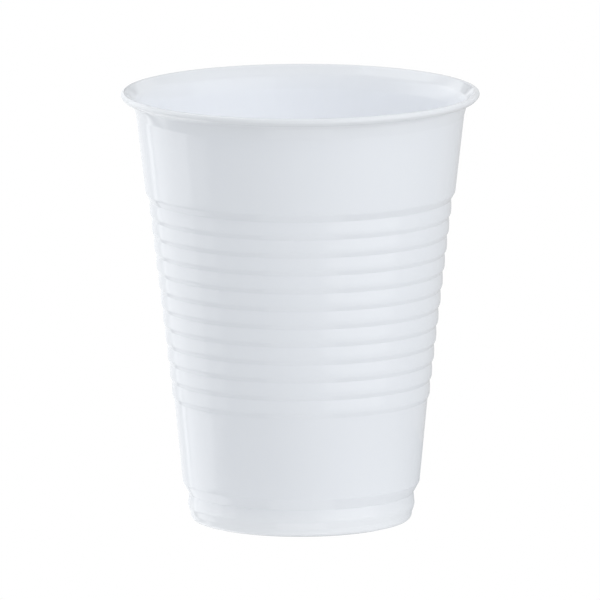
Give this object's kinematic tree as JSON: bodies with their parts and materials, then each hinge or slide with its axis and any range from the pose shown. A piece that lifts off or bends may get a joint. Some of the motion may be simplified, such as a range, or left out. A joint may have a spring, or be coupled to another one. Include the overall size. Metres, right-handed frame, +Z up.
{
  "type": "plastic cup",
  "caption": "Thin white thermoformed plastic cup with a rolled rim, ringed tapered wall and recessed foot, which is laid on its side to serve as a putting cup.",
  "frame": {"origin": "centre of the ring that the cup stands on, on the surface under it", "axes": "+Z up along the cup's axis, from the foot to the mouth; X and Y are alike"},
  "size_m": [0.0702, 0.0702, 0.0852],
  "materials": {
    "cup_plastic": "thin white slightly translucent thermoformed sheet, satin gloss"
  },
  "bodies": {
    "root": {"cup": "cup_plastic"}
  },
  "joints": []
}
